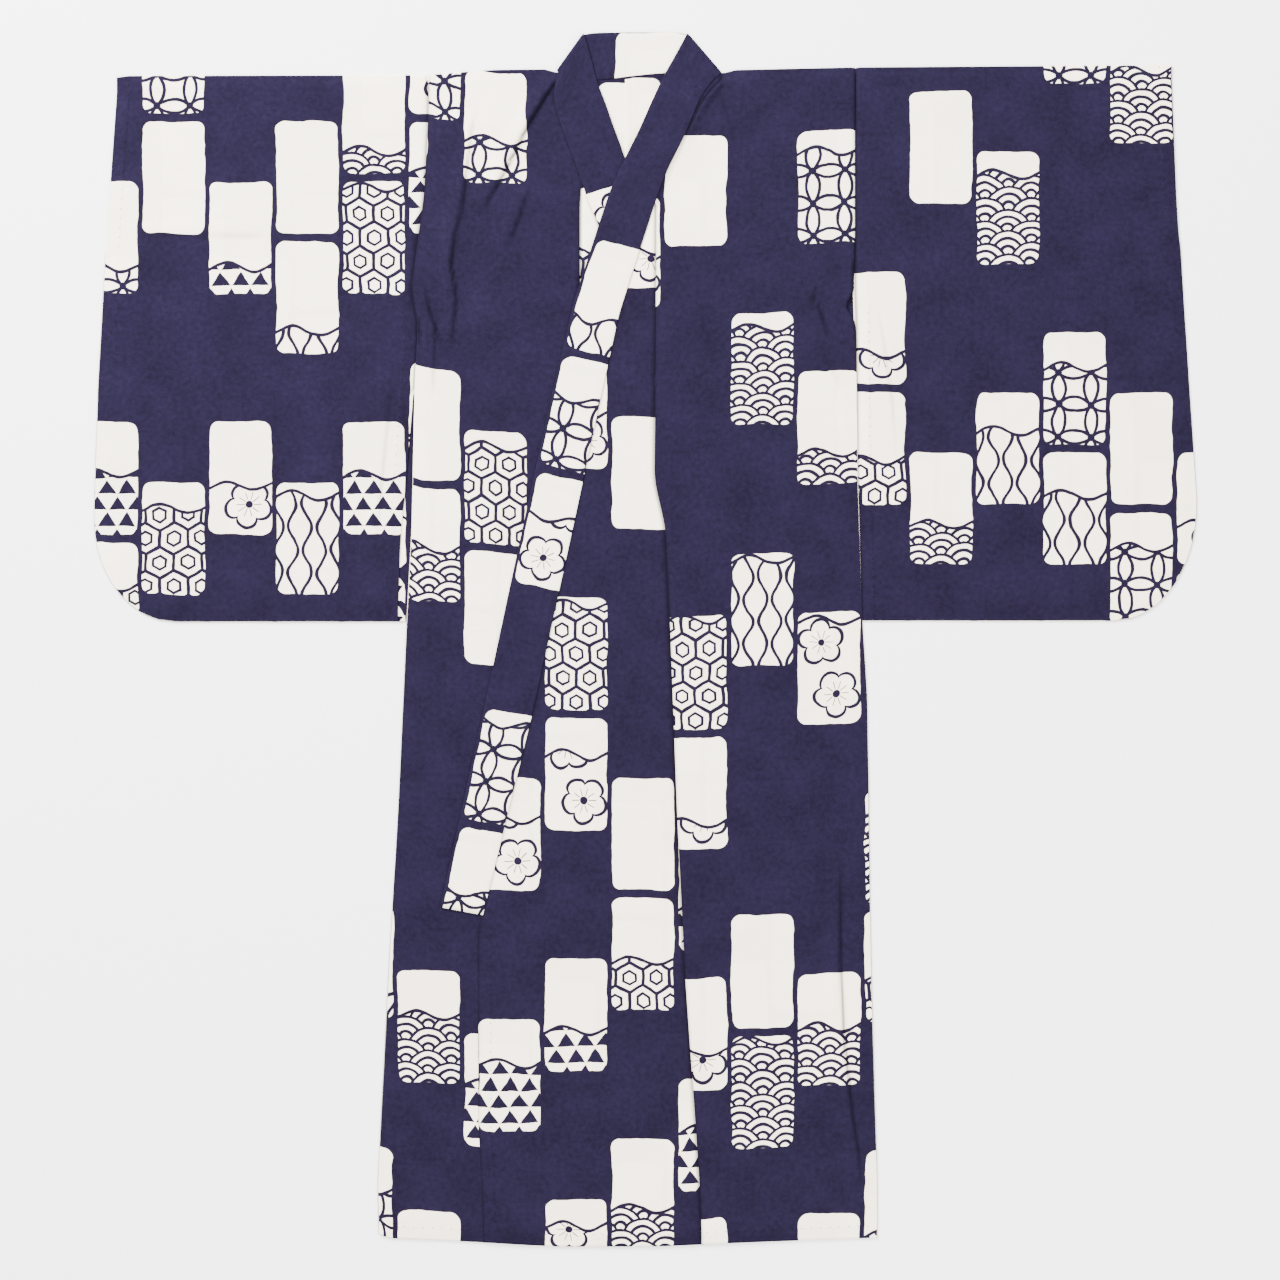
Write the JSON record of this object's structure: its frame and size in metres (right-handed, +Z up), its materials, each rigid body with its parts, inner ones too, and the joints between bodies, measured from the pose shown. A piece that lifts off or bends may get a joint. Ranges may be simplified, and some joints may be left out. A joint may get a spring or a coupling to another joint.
{
  "type": "cotton yukata",
  "caption": "Unlined cotton yukata laid flat with its front up: straight body halves, overlap panels, wide sleeves with rounded corners and a long folded collar, closed left over right",
  "frame": {"origin": "middle of the outline seen from above, on the surface that the garment lies on", "axes": "+Y towards the neck, +X towards the viewer's right (the wearer's left sleeve), +Z up from the surface"},
  "size_m": [1.1664, 1.2828, 0.0072],
  "materials": {
    "printed_cotton": "matt plain-woven cotton, dyed navy with off-white blocks"
  },
  "bodies": {
    "root": {"body_right": "printed_cotton", "body_left": "printed_cotton", "okumi_right": "printed_cotton", "okumi_left": "printed_cotton", "sleeve_right": "printed_cotton", "sleeve_left": "printed_cotton", "collar": "printed_cotton"}
  },
  "joints": []
}
